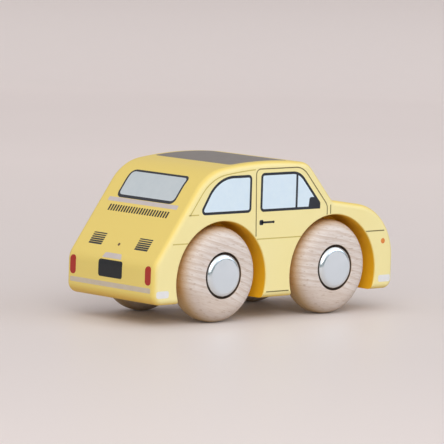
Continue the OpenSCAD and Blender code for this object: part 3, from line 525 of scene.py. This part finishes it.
# curved names the ways in which the film is cut into strips, so that it can follow a bend
def layFilm(bm, sheet, lift, curved):
    cuts = {}
    for key, way in (("up", sheet.up), ("across", sheet.across)):
        runs = [(v.co - sheet.place).dot(way) for v in bm.verts]
        cuts[key] = (way, min(runs), max(runs))
    if curved:
        for way, start, end in (cuts[key] for key in curved.split()):
            steps = math.ceil((end - start) / (filmSet["strip"] * mm))
            for i in range(1, steps):
                place = sheet.place + way * (start + (end - start) * i / steps)
                bmesh.ops.bisect_plane(bm, geom=bm.verts[:] + bm.edges[:] + bm.faces[:], plane_co=place,
                                       plane_no=way)
        for v in bm.verts:
            hit, normal = skin.ray_cast(v.co + sheet.out * filmSet["castFrom"] * mm, -sheet.out)[:2]
            v.co = hit + normal * lift * mm
    else:
        bmesh.ops.translate(bm, verts=bm.verts[:], vec=sheet.out * lift * mm)
    thick = bmesh.ops.extrude_face_region(bm, geom=bm.faces[:], use_keep_orig=True)["geom"]
    bmesh.ops.translate(bm, verts=vertsOf(thick), vec=-sheet.out * (filmSet["sunk"] + lift) * mm)


def drawFace(bm, sheet, corners):
    chain = roundedChain(bm, corners, sheet.place, sheet.across, sheet.up, stepLength=filmSet["stepLength"])
    face = bm.faces.new(chain)
    face.normal_update()
    return face


def printFilm(name, ink, sheet, shapes, node=None, curved=None, lift=None):
    bm = bmesh.new()
    for corners in shapes:
        drawFace(bm, sheet, corners)
    layFilm(bm, sheet, lift or filmSet["lift"], curved)
    addPiece(bm, name, inks[ink], "car_body", node)


# a window is one drawing: its frame is what an inset leaves round the glass
def printWindow(name, inkPair, sheet, corners, width, nodes, curved=None, foot=0, head=0):
    middle = (min(c[1] for c in corners) + max(c[1] for c in corners)) / 2 * mm
    for part, ink, slot in (("Frame", inkPair[0], "ink_dark"), ("Glass", inkPair[1], "ink_glass")):
        bm = bmesh.new()
        glass = drawFace(bm, sheet, corners)
        ring = insetFace(bm, glass, width)
        low = [v for v in glass.verts if (v.co - sheet.place).dot(sheet.up) < middle]
        high = [v for v in glass.verts if v not in low]
        bmesh.ops.translate(bm, verts=low, vec=sheet.up * foot * mm)
        bmesh.ops.translate(bm, verts=high, vec=-sheet.up * head * mm)
        bmesh.ops.delete(bm, geom=[glass] if part == "Frame" else ring, context="FACES")
        layFilm(bm, sheet, filmSet["lift"], curved)
        addPiece(bm, name + part, inks[ink], "car_body", nodes[part])


def boxCorners(left, low, right, high, radius=0):
    return [(left, low, radius), (right, low, radius), (right, high, radius), (left, high, radius)]


def dotCorners(u, v, radius):
    return boxCorners(u - radius, v - radius, u + radius, v + radius, radius * filmSet["dotRound"])


def slopeSheet(foot, head, back):  # a board on a sloping face, from its foot up to its head
    way = (Vector((head[0] - foot[0], 0, head[1] - foot[1]))).normalized()
    return Sheet(Vector((foot[0], 0, foot[1])) * mm, -axisY if back else axisY, way)


backSlope = slopeSheet(b["tailBend"], b["roofRear"], True)
tailWall = Sheet(axisX * b["tail"] * mm, -axisY, axisZ)
screenSlope = slopeSheet(b["screenFoot"], b["screenTop"], False)
noseWall = Sheet(axisX * b["nose"] * mm, axisY, axisZ)
roofTop = Sheet(axisZ * b["roof"] * mm, axisX, axisY)

backSet = {
    "window": boxCorners(-16, 25.75, 16, 38.55, 2.5), "frame": 0.85, "frameFoot": 0.4, "frameHead": 0.15,
    "strip": boxCorners(-19.2, 23.85, 19.2, 25.6, 0.46),
    # fewer and coarser slots than the real row, which is too fine to show as stripes
    "slots": {"count": 23, "pitch": 1.45, "width": 0.82, "low": 19.85, "high": 22.55},
    "louvres": {"count": 6, "pitch": 0.9, "bar": 0.72, "thinner": 0.05, "low": 5.4, "near": 9.2, "far": 16.3},
    "lock": dotCorners(0, 6.6, 0.6),
    "plateLamp": [(-5.3, 22.8), (5.3, 22.8), (4.4, 24.6, 0.9), (-4.4, 24.6, 0.9)],
    "plate": boxCorners(-6.6, 15.9, 6.6, 22.2, 1),
    "lamp": {"offset": 20.9, "half": 1.6, "low": 15.2, "high": 22.1, "round": 1.44},
    "bumper": boxCorners(-22.4, 12.4, 22.4, 14.2, 0.6),
    "roofPanel": boxCorners(-21.1, -21, 6.9, 21, 1.5),
}


def printBack(s):
    printWindow("rearWindow", ("frame", "rearGlass"), backSlope, s["window"], s["frame"],
                {"Frame": "rear_window_frame", "Glass": "rear_window_glass"}, "up", s["frameFoot"], s["frameHead"])
    printFilm("rearStrip", "silver", backSlope, [s["strip"]], "rear_strip", "up")
    k = s["slots"]
    starts = [(i - (k["count"] - 1) / 2) * k["pitch"] - k["width"] / 2 for i in range(k["count"])]
    printFilm("ventSlots", "vent", backSlope,
              [boxCorners(u, k["low"], u + k["width"], k["high"]) for u in starts], "vent_slots")
    k = s["louvres"]
    bars = [boxCorners(u, k["low"] + i * k["pitch"], u + k["far"] - k["near"],
                       k["low"] + i * k["pitch"] + k["bar"] - i * k["thinner"])
            for u in (k["near"], -k["far"]) for i in range(k["count"])]
    printFilm("engineLouvres", "frame", backSlope, bars, "engine_louvres")
    printFilm("lidLock", "lock", backSlope, [s["lock"]], "lid_lock")
    printFilm("plateLamp", "silver", tailWall, [s["plateLamp"]], "plate_lamp", "up")
    printFilm("rearPlate", "plate", tailWall, [s["plate"]], "rear_plate", "up")
    k = s["lamp"]
    for side, way in outwards.items():
        u = -way * k["offset"]
        lamp = boxCorners(u - k["half"], k["low"], u + k["half"], k["high"], k["round"])
        printFilm(side + "TailLamp", "red", tailWall, [lamp], side + "_tail_lamp", "up")
    printFilm("rearBumper", "bumper", tailWall, [s["bumper"]], "rear_bumper")
    printFilm("roofPanel", "roof", roofTop, [s["roofPanel"]], "roof_panel", "across")


frontSet = {
    "window": boxCorners(-17.5, 2.38, 17.5, 14.86, 3), "frame": 0.85,
    "bumper": boxCorners(-22.4, 12.4, 22.4, 14.2, 0.6),
    "lamp": {"offset": 15, "radius": 3.9, "ring": 0.7, "angle": 30},
}


def printFront(s):
    printWindow("windscreen", ("frame", "rearGlass"), screenSlope, s["window"], s["frame"],
                {"Frame": "windscreen_frame", "Glass": "windscreen_glass"}, "up")
    printFilm("frontBumper", "bumper", noseWall, [s["bumper"]], "front_bumper")
    k = s["lamp"]
    bonnet = math.atan2(b["screenFoot"][1] - b["noseTop"][1], b["noseTop"][0] - b["screenFoot"][0])
    r = b["rounds"]["noseTop"]
    heart = Vector((b["nose"] - r, 0, b["noseTop"][1] - r / math.tan(math.pi / 4 + bonnet / 2)))
    a = math.radians(k["angle"])
    place = (heart + Vector((math.cos(a), 0, math.sin(a))) * r) * mm
    board = Sheet(place, axisY, Vector((-math.sin(a), 0, math.cos(a))))
    for side, way in outwards.items():
        for part, ink, slot in (("headlampRing", "silver", "ink_silver"), ("headlamp", "white", "ink_white")):
            bm = bmesh.new()
            lens = drawFace(bm, board, dotCorners(way * k["offset"], 0, k["radius"] + k["ring"]))
            ring = insetFace(bm, lens, k["ring"])
            bmesh.ops.delete(bm, geom=[lens] if part == "headlampRing" else ring, context="FACES")
            layFilm(bm, board, filmSet["lift"], "up")
            node = side + ("_headlamp_ring" if part == "headlampRing" else "_headlamp")
            addPiece(bm, side + part[0].upper() + part[1:], inks[ink], "car_body", node)


printBack(backSet)
printFront(frontSet)
print("back, roof and front printed")


def onBack(z):
    (x0, z0), (x1, z1) = b["tailBend"], b["roofRear"]
    return x0 + (z - z0) * (x1 - x0) / (z1 - z0)


def onScreen(z):
    (x0, z0), (x1, z1) = b["screenFoot"], b["screenTop"]
    return x0 + (z - z0) * (x1 - x0) / (z1 - z0)


archRim = b["archRadius"] + b["rimEase"]


def rimHigh(run):  # height of the arch's rim beside its axle
    return b["archHigh"] + math.sqrt(archRim ** 2 - run ** 2)


def rimRun(z):  # distance of the rim from its axle at a height
    return math.sqrt(archRim ** 2 - (z - b["archHigh"]) ** 2)


sideSet = {
    "belt": 39.7, "frame": 0.98, "windowTop": 53.93, "windowRear": -9.2, "windowRound": 1.7,
    "quarterTop": 53.5, "quarterFront": -13.6, "quarterFoot": 7.4, "quarterHead": 5.7, "quarterSweep": 14,
    "ventInset": 7.3, "ventFoot": 2.3, "ventRound": 1.8, "ventSweep": 8, "divider": 11.9, "dividerInset": 0.4,
    "mirror": {"length": 6, "high": 4.4, "lean": 0.6, "round": 0.9},
    "handle": {"high": 35.82, "boss": 0.95, "round": 0.6, "inset": 1.7, "length": 7.4, "bar": 0.75, "knob": 0.46},
    "doorRear": -11.1, "doorFront": 24.4, "doorHead": 55.6, "doorInset": 4.4, "doorLean": 0.7,
    "doorHeadRound": 2.2, "doorSweep": 8, "doorFootRound": 4,
    "lineWide": 0.4, "waist": 30, "waistStep": 0.25, "waistInset": 2.5, "waistNose": 53.73,
    "sill": 10.4, "sillGap": 0.6, "gutter": 2.3, "gutterGap": 0.9, "wingRun": 1.7, "wingDrop": 1.5,
    "bumperEnds": [(-57.8, -52.2), (51.4, 57.6)], "bumperLow": 10.7, "bumperHigh": 13.3, "bumperRound": 0.8,
    "indicator": (53.2, 26.1, 1),
}


# a drawn line: the path stands up as a thin wall, then gets its width
def drawLines(bm, sheet, paths, width):
    for path in paths:
        made = set(bm.edges)
        roundedChain(bm, path, sheet.place - sheet.out * filmSet["sunk"] * mm, sheet.across, sheet.up, closed=False,
                     stepLength=filmSet["lineStep"])
        wall = bmesh.ops.extrude_edge_only(bm, edges=[e for e in bm.edges if e not in made])["geom"]
        bmesh.ops.translate(bm, verts=vertsOf(wall), vec=sheet.out * (filmSet["sunk"] + filmSet["lift"]) * mm)
        faces = [g for g in wall if isinstance(g, bmesh.types.BMFace)]
        bmesh.ops.recalc_face_normals(bm, faces=faces)
        bmesh.ops.solidify(bm, geom=faces, thickness=width * mm)


def printSide(side, way, s):
    # the board's own across runs to the right as seen by someone facing that side
    flip = -way
    sheet = Sheet(axisY * way * b["half"] * mm, axisX * flip, axisZ)
    belt, foot = s["belt"], s["belt"] + s["ventFoot"]
    ventX = onScreen(foot) - s["ventInset"]

    def seen(corners):  # corners drawn in X and Z, turned for the side that they are on
        turned = [(c[0] * flip, *c[1:]) for c in corners]
        return turned if flip > 0 else turned[::-1]

    soft = s["windowRound"]
    printWindow(side + "Quarter", ("frame", "sideGlass"), sheet, seen([
        (onBack(belt) + s["quarterFoot"], belt, soft), (s["quarterFront"], belt, soft),
        (s["quarterFront"], s["quarterTop"], soft),
        (onBack(s["quarterTop"]) + s["quarterHead"], s["quarterTop"], s["quarterSweep"])]), s["frame"],
        {"Frame": side + "_quarter_frame", "Glass": side + "_quarter_glass"})
    printWindow(side + "Door", ("frame", "sideGlass"), sheet, seen([
        (s["windowRear"], belt, soft), (ventX, belt, s["ventRound"]), (ventX, foot, s["frame"]),
        (onScreen(s["windowTop"]) - s["ventInset"], s["windowTop"], s["ventSweep"]),
        (s["windowRear"], s["windowTop"], soft)]),
        s["frame"], {"Frame": side + "_door_frame", "Glass": side + "_door_glass"})
    left = ventX - s["divider"] - s["frame"] / 2
    divider = boxCorners(left, belt + s["dividerInset"], left + s["frame"], s["windowTop"] - s["dividerInset"])
    printFilm(side + "Divider", "frame", sheet, [seen(divider)], lift=filmSet["overLift"])
    k = s["mirror"]
    top = belt + k["high"]
    printFilm(side + "Mirror", "frame", sheet, [seen([
        (ventX - k["length"], belt), (ventX, belt), (ventX, foot, k["round"]),
        (ventX - k["length"] / 2, top, k["round"]), (ventX - k["length"] + k["lean"], top, k["round"])])],
        side + "_mirror", lift=filmSet["topLift"])
    k = s["handle"]
    pin = s["doorRear"] + k["inset"] + k["boss"]
    tip = pin + k["length"] - k["boss"]
    boss = boxCorners(pin - k["boss"], k["high"] - k["boss"], pin + k["boss"], k["high"] + k["boss"], k["round"])
    bar = boxCorners(pin, k["high"] - k["bar"] / 2, tip - k["knob"], k["high"] + k["bar"] / 2)
    knob = dotCorners(tip - k["knob"], k["high"], k["knob"])
    printFilm(side + "Handle", "frame", sheet, [seen(boss), seen(bar), seen(knob)], side + "_handle",
              lift=filmSet["overLift"])
    ends = [boxCorners(x0, s["bumperLow"], x1, s["bumperHigh"], s["bumperRound"]) for x0, x1 in s["bumperEnds"]]
    printFilm(side + "BumperEnds", "white", sheet, [seen(end) for end in ends], side + "_bumper_ends",
              "across up")
    printFilm(side + "Indicator", "amber", sheet, [seen(dotCorners(*s["indicator"]))],
              side + "_indicator")

    rear, front = b["axles"]["rear"], b["axles"]["front"]
    slope = (b["screenTop"][1] - b["screenFoot"][1]) / (b["screenFoot"][0] - b["screenTop"][0])
    bend = b["screenFoot"][1] + (b["screenFoot"][0] - s["doorInset"] - s["doorFront"]) * slope
    bm = bmesh.new()
    drawLines(bm, sheet, [seen([
        (s["doorRear"], rimHigh(s["doorRear"] - rear)),
        (s["doorRear"] - s["doorLean"], s["doorHead"], s["doorHeadRound"]),
        (onScreen(s["doorHead"]) - s["doorInset"], s["doorHead"], s["doorSweep"]),
        (s["doorFront"], bend, s["doorFootRound"]),
        (s["doorFront"], rimHigh(front - s["doorFront"]))])], s["lineWide"])
    addPiece(bm, side + "DoorLine", inks["doorLine"], "car_body", side + "_door_line")

    waist, run, sill = s["waist"], rimRun(s["waist"]), rimRun(s["sill"]) + s["sillGap"]
    step, wingX = waist + s["waistStep"], s["doorFront"] + s["wingRun"]
    bm = bmesh.new()
    drawLines(bm, sheet, [seen(line) for line in (
        [(front + rimRun(step), step), (s["waistNose"], step)],
        [(wingX, b["screenFoot"][1] - s["wingDrop"]), (wingX, rimHigh(front - wingX))],
        [(rear + sill, s["sill"]), (front - sill, s["sill"])])], s["lineWide"])
    addPiece(bm, side + "WingLines", inks["wingLine"], "car_body")
    bm = bmesh.new()
    drawLines(bm, sheet, [seen(line) for line in (
        [(onBack(waist) + s["waistInset"], waist), (rear - run, waist)],
        [(rear + run, waist), (front - run, waist)],
        [(onBack(belt) + s["waistInset"], belt), (onBack(belt) + s["quarterFoot"], belt)])], s["lineWide"])
    # gutter: the ring that two insets of the whole side leave, kept from the belt up to the door
    gutter = bmesh.new()
    whole = drawFace(gutter, sheet, seen(bodyCorners))
    bmesh.ops.delete(gutter, geom=insetFace(gutter, whole, s["gutter"]), context="FACES")
    insetFace(gutter, whole, s["lineWide"])
    bmesh.ops.delete(gutter, geom=[whole], context="FACES")
    for place, out in ((axisZ * belt * mm, -axisZ), (axisX * (s["doorRear"] - s["gutterGap"]) * mm, axisX)):
        bmesh.ops.bisect_plane(gutter, geom=gutter.verts[:] + gutter.edges[:] + gutter.faces[:], plane_co=place,
                               plane_no=out, clear_outer=True)
    layFilm(gutter, sheet, filmSet["lift"], None)
    spare = bpy.data.meshes.new("spare")
    gutter.to_mesh(spare)
    gutter.free()
    bm.from_mesh(spare)
    bpy.data.meshes.remove(spare)
    addPiece(bm, side + "PanelLines", inks["panelLine"], "car_body", side + "_panel_lines")


for side, way in outwards.items():
    printSide(side, way, sideSet)
print("sides printed")


# pale table and wall, one sheet with a soft bend far behind the car
stageSet = {
    "floor": "#cfcac9", "wall": "#857e7d", "climb": {"From Max": 0.12},
    "cloud": 140, "gloss": {"To Min": 0.4, "To Max": 0.5}, "specular": 0.4,
    # painted light: the table glows for the camera and in reflections, more far from the car, less close beside and
    # under it
    "glow": "#e9d8d4", "glowLevel": {"From Min": 0.12, "From Max": 0.6, "To Min": 0.2, "To Max": 0.31},
    "glowShade": {"Distance": 0.018},  # the glow stays off the floor right beside the car
    "near": 1.2, "far": 1.23, "wide": 3, "bend": 0.12, "bendSteps": 16, "high": 2,  # metres
}


def seenDirect(tree):  # one for what the camera sees, itself or in a mirror or through glass
    path = addNode(tree, "LightPath")
    direct = addNode(tree, "Math", {"operation": "MAXIMUM"}, {0: (path, "Is Camera Ray"), 1: (path, "Is Glossy Ray")})
    return addNode(tree, "Math", {"operation": "MAXIMUM"}, {0: (direct, "Value"), 1: (path, "Is Transmission Ray")})


def makeStage(s):
    material, tree, shader = newMaterial("paleTable")
    coords = addNode(tree, "TexCoord")
    cloud = addNode(tree, "TexNoise", {"Scale": perMetre(s["cloud"]), "Detail": 2}, {"Vector": (coords, "Object")})
    split = addNode(tree, "SeparateXYZ", {}, {"Vector": (coords, "Object")})
    climb = addNode(tree, "MapRange", s["climb"], {"Value": (split, "Z")})
    tone = addNode(tree, "Mix", {"data_type": "RGBA", 6: hexColour(s["floor"]), 7: hexColour(s["wall"])},
                   {0: (climb, "Result")})
    gloss = addNode(tree, "MapRange", s["gloss"], {"Value": (cloud, "Fac")})
    tree.links.new(tone.outputs[2], shader.inputs["Base Color"])
    tree.links.new(gloss.outputs["Result"], shader.inputs["Roughness"])
    shader.inputs["Specular IOR Level"].default_value = s["specular"]
    shader.inputs["Emission Color"].default_value = hexColour(s["glow"])
    # painted light: a glow lifts the table's shade, growing with distance from the car and held off where the car
    # stands close
    seen = seenDirect(tree)
    apart = addNode(tree, "VectorMath", {"operation": "LENGTH"}, {0: (coords, "Object")})
    level = addNode(tree, "MapRange", s["glowLevel"], {"Value": (apart, "Value")})
    shade = addNode(tree, "AmbientOcclusion", s["glowShade"])
    shown = addNode(tree, "Math", {"operation": "MULTIPLY"}, {0: (seen, "Value"), 1: (shade, "AO")})
    glow = addNode(tree, "Math", {"operation": "MULTIPLY"}, {0: (shown, "Value"), 1: (level, "Result")})
    tree.links.new(glow.outputs["Value"], shader.inputs["Emission Strength"])
    # seen from behind or below, the sheet is clear, so that it hides no side of the car
    back = addNode(tree, "NewGeometry")
    path = addNode(tree, "LightPath")
    clear = addNode(tree, "Math", {"operation": "MULTIPLY"}, {0: (back, "Backfacing"), 1: (path, "Is Camera Ray")})
    gap = addNode(tree, "BsdfTransparent")
    either = addNode(tree, "MixShader", {}, {0: (clear, "Value"), 1: (shader, "BSDF"), 2: (gap, "BSDF")})
    tree.links.new(either.outputs["Shader"], tree.nodes["Material Output"].inputs["Surface"])
    away = math.radians(cameraSet["azimuth"])
    ahead, right = Vector((-math.sin(away), math.cos(away), 0)), Vector((math.cos(away), math.sin(away), 0))
    bm = bmesh.new()
    start = bm.verts.new(-ahead * s["near"] - right * s["wide"])
    foot = bmesh.ops.extrude_vert_indiv(bm, verts=[start])["verts"][0]
    bmesh.ops.translate(bm, verts=[foot], vec=ahead * (s["near"] + s["far"] - s["bend"]))
    bmesh.ops.spin(bm, geom=[foot], cent=foot.co + axisZ * s["bend"], axis=right, angle=math.pi / 2,
                   steps=s["bendSteps"], use_merge=False)
    bm.verts.ensure_lookup_table()
    top = bmesh.ops.extrude_vert_indiv(bm, verts=[bm.verts[len(bm.verts) - 1]])["verts"]
    bmesh.ops.translate(bm, verts=top, vec=axisZ * s["high"])
    wide = bmesh.ops.extrude_edge_only(bm, edges=bm.edges[:])["geom"]
    bmesh.ops.translate(bm, verts=vertsOf(wide), vec=right * 2 * s["wide"])
    bmesh.ops.recalc_face_normals(bm, faces=bm.faces[:])
    if max(bm.faces, key=lambda f: f.normal.z ** 2).normal.z < 0:
        bmesh.ops.reverse_faces(bm, faces=bm.faces[:])
    for face in bm.faces:
        face.smooth = True
    table = meshObject(bm, "table")
    table.data.materials.append(material)


makeStage(stageSet)

# light: a large soft key above the camera, a weaker window to its right, pale room all round
lampSet = {
    "key": {"place": (-1.0, -1.3, 1.15), "size": 1.4, "power": 17.5, "colour": "#fff7ee"},
    "window": {"place": (1.1, -1.05, 0.85), "size": 1.3, "power": 7, "colour": "#e6f0ff"},
}
lampAim = Vector((0, 0, 0.03))  # the middle of the car


def makeLamp(name, s):
    data = bpy.data.lights.new(name, "AREA")
    data.shape, data.size, data.energy = "SQUARE", s["size"], s["power"]
    data.color = hexColour(s["colour"])[:3]
    lamp = bpy.data.objects.new(name, data)
    lamp.location = s["place"]
    lamp.rotation_euler = (Vector(s["place"]) - lampAim).to_track_quat("Z", "Y").to_euler()
    scene.collection.objects.link(lamp)


for name, settings in lampSet.items():
    makeLamp(name, settings)

# the room lights the car evenly; in a mirror it is a bright ceiling over a dimmer level
roomSet = {
    "light": "#ffffff", "strength": 0.62,
    "mirrorAbove": "#ffffff", "mirrorLevel": "#7f8a8c", "mirrorRise": {"From Min": 0.2, "From Max": 0.4},
    "mirrorStrength": 1.2,
}


def makeRoom(s):
    world = bpy.data.worlds.new("paleRoom")
    world.use_nodes = True
    scene.world = world
    tree = world.node_tree
    coords = addNode(tree, "TexCoord")
    split = addNode(tree, "SeparateXYZ", {}, {"Vector": (coords, "Generated")})
    rise = addNode(tree, "MapRange", s["mirrorRise"], {"Value": (split, "Z")})
    mirror = addNode(tree, "Mix", {"data_type": "RGBA", 6: hexColour(s["mirrorLevel"]),
                                   7: hexColour(s["mirrorAbove"])}, {0: (rise, "Result")})
    seen = seenDirect(tree)
    light = addNode(tree, "Mix", {"data_type": "RGBA", 6: hexColour(s["light"])},
                    {0: (seen, "Value"), 7: (mirror, 2)})
    level = addNode(tree, "MapRange", {"To Min": s["strength"], "To Max": s["mirrorStrength"]},
                    {"Value": (seen, "Value")})
    tree.links.new(light.outputs[2], tree.nodes["Background"].inputs["Color"])
    tree.links.new(level.outputs["Result"], tree.nodes["Background"].inputs["Strength"])


makeRoom(roomSet)
print("table, lamps and room made")
